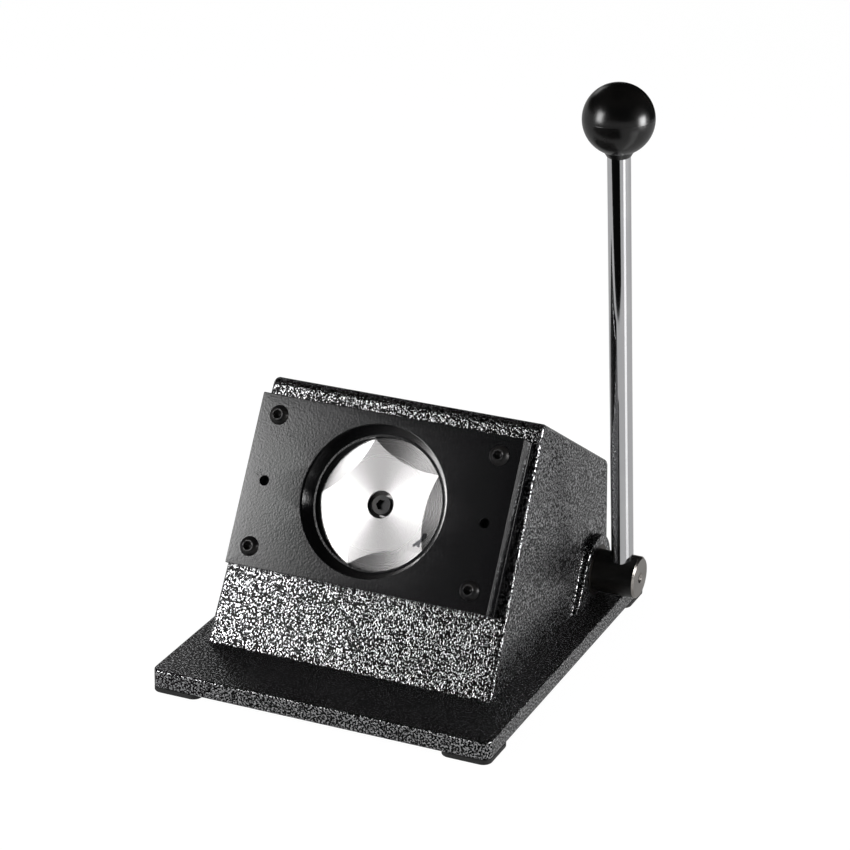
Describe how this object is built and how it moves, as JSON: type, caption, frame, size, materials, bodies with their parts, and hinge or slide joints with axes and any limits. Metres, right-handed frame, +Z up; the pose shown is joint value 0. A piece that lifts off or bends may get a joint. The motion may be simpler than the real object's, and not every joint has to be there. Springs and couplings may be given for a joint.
{
  "type": "badge paper die cutter",
  "caption": "Bench die cutter for badge papers: a side lever drives a round punch out through a sloping die set on a cast housing.",
  "frame": {"origin": "centre of the bounding box, on the surface that the rubber feet stand on", "axes": "+X towards the lever's side, +Y from the die towards the upright rear wall, +Z up"},
  "size_m": [0.2073, 0.225, 0.3108],
  "materials": {
    "hammered_paint": "black and silver hammered paint, glossy",
    "black_paint": "satin black paint",
    "rubber": "matt",
    "black_oxide": "blackened steel",
    "turned_steel": "turned and ground steel",
    "chrome": "polished chrome plate",
    "black_plastic": "polished black phenolic",
    "bronze": "turned bronze"
  },
  "bodies": {
    "frame": {"base_plate": "hammered_paint", "foot_front_left": "rubber", "foot_front_right": "rubber", "foot_rear_left": "rubber", "foot_rear_right": "rubber", "base_screw_front_left": "black_oxide", "base_screw_front_right": "black_oxide", "base_screw_rear_left": "black_oxide", "base_screw_rear_right": "black_oxide", "housing": "hammered_paint", "guide_plate": "black_paint", "shim_left": "turned_steel", "shim_right": "turned_steel", "die_plate": "black_paint", "cover_plate": "black_paint", "plate_screw_top_left": "black_oxide", "plate_screw_top_right": "black_oxide", "plate_screw_bottom_left": "black_oxide", "plate_screw_bottom_right": "black_oxide", "dowel_left": "turned_steel", "dowel_right": "turned_steel", "ram_bush": "bronze", "shaft_bush_left": "bronze", "shaft_bush_right": "bronze", "return_spring": "turned_steel"},
    "ram_set": {"punch": "turned_steel", "punch_screw": "black_oxide", "ram": "turned_steel", "ram_cap": "turned_steel"},
    "lever": {"handle_shaft": "black_oxide", "cam": "turned_steel", "cam_pin": "turned_steel", "thrust_washer": "bronze", "retaining_ring": "black_oxide", "handle_rod": "chrome", "knob": "black_plastic", "knob_insert": "bronze"}
  },
  "joints": [
    {"name": "lever_turn", "type": "hinge", "parent": "frame", "child": "lever", "pos_m": [0.08525, 0.07178, 0.02745], "axis": [1, 0, 0], "range_deg": [0, 68.7]},
    {"name": "ram_slide", "type": "slide", "parent": "frame", "child": "ram_set", "axis": [0, -0.866, 0.5], "range_m": [0, 0.012], "stiffness_N_per_m": 4000, "springref_m": -0.015, "deforming": ["return_spring"]}
  ],
  "couplings": [
    {"joint": "ram_slide", "follows": "lever_turn", "m_per_rad": 0.01}
  ]
}
